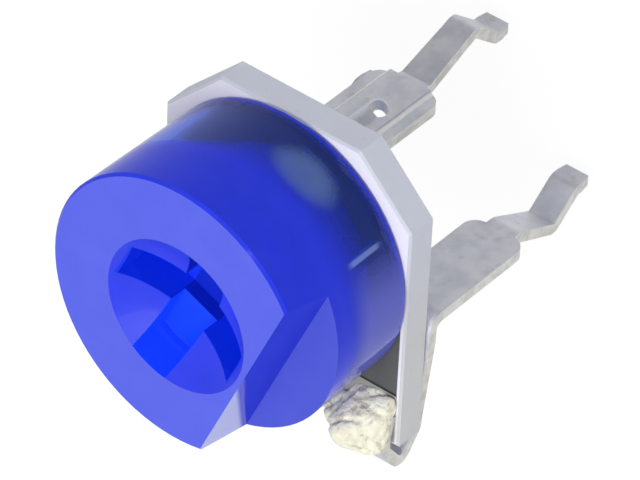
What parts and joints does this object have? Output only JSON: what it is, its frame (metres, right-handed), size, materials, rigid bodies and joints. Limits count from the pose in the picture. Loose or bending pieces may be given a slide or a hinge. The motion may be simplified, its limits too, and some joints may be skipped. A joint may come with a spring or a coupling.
{
  "type": "trimmer potentiometer",
  "caption": "Open-frame trimmer potentiometer: blue moulded rotor with cross recess and index flat on an alumina plate with a horseshoe track, soldered kinked terminals",
  "frame": {"origin": "On the rotor's axis, in the plane of the circuit board, where the terminals' shoulders rest.", "axes": "+Z runs along the rotor's axis from the board to the rotor's front face; +X runs along the ceramic plate's straight bottom edge, from the left end terminal to the right one; +Y points from the end terminals to the wiper terminal."},
  "size_m": [0.0128, 0.0157, 0.0205],
  "materials": {
    "alumina": "fired, matte",
    "resistive_ink": "printed, matte",
    "silver_ink": "printed silver, dull",
    "rotor_plastic": "see-through blue, moulded, front face matte",
    "spring_alloy": "plated spring alloy",
    "washer_steel": "zinc plated",
    "eyelet_brass": "rolled, bright",
    "tinned_sheet": "tinned sheet, satin",
    "solder": "dull solder, pitted"
  },
  "bodies": {
    "base": {"ceramic_plate": "alumina", "resistive_track": "resistive_ink", "left_pad": "silver_ink", "right_pad": "silver_ink", "centre_eyelet": "eyelet_brass", "wiper_terminal": "tinned_sheet", "left_terminal": "tinned_sheet", "right_terminal": "tinned_sheet", "left_solder": "solder", "right_solder": "solder"},
    "turning": {"rotor": "rotor_plastic", "wiper_spring": "spring_alloy", "retaining_washer": "washer_steel"}
  },
  "joints": [
    {"name": "rotor_turn", "type": "hinge", "parent": "base", "child": "turning", "pos_m": [0, 0, 0], "axis": [0, 0, 1], "range_deg": [-97, 143]}
  ]
}
